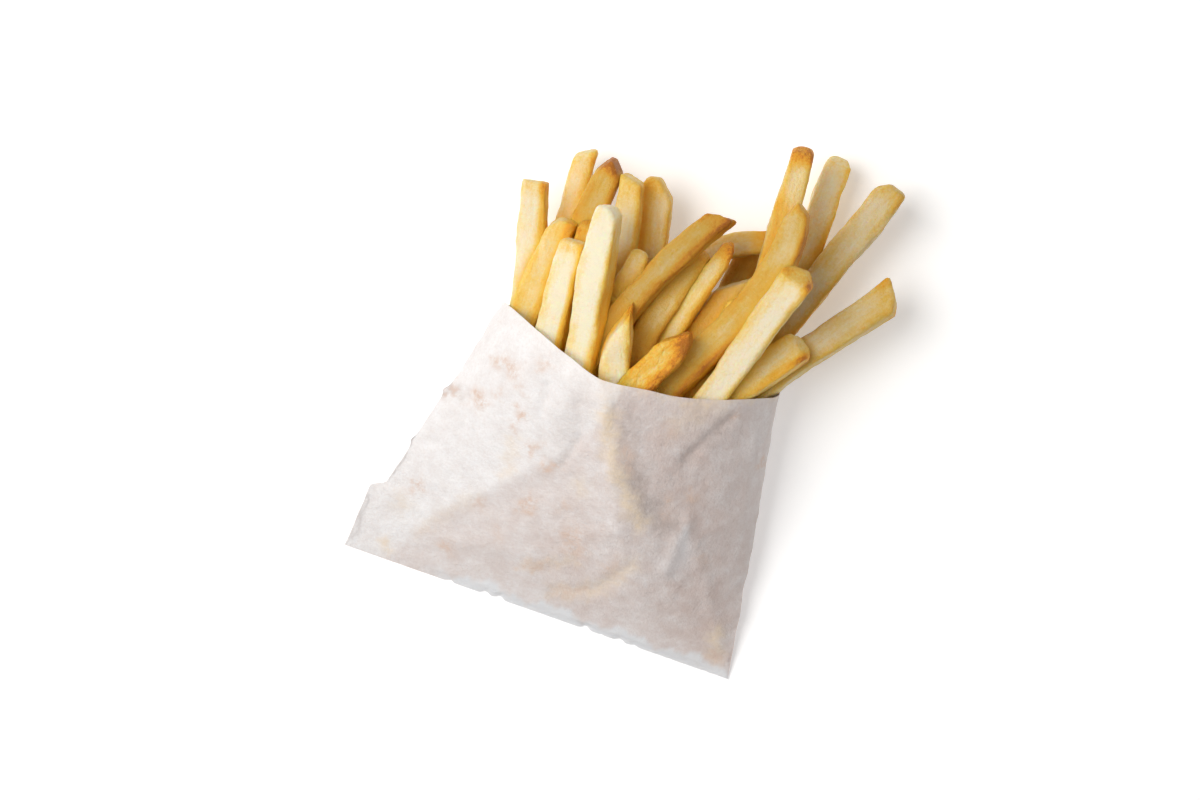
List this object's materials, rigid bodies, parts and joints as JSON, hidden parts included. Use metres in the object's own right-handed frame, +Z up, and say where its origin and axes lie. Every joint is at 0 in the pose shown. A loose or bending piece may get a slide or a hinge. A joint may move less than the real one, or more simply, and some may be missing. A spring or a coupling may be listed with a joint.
{
  "type": "french fries in paper bag",
  "caption": "Thin-cut french fries that fan out of the mouth of a small white greaseproof paper bag, lying on its back panel.",
  "frame": {"origin": "middle of the underside of the whole object's box, on the surface that the bag lies on", "axes": "+Z up, away from the surface and out of the bag's front panel; +Y from the bag's bottom seam to its mouth and the fries' tips; +X across the bag, to the right when seen from above with the mouth away from the viewer"},
  "size_m": [0.1188, 0.146, 0.0489],
  "materials": {
    "greaseproof_paper": "thin translucent white paper with faint grease spots",
    "fried_potato": "lightly oiled fried potato, pale yellow with golden edges"
  },
  "bodies": {
    "root": {"paper_bag": "greaseproof_paper", "fries": "fried_potato"}
  },
  "joints": []
}
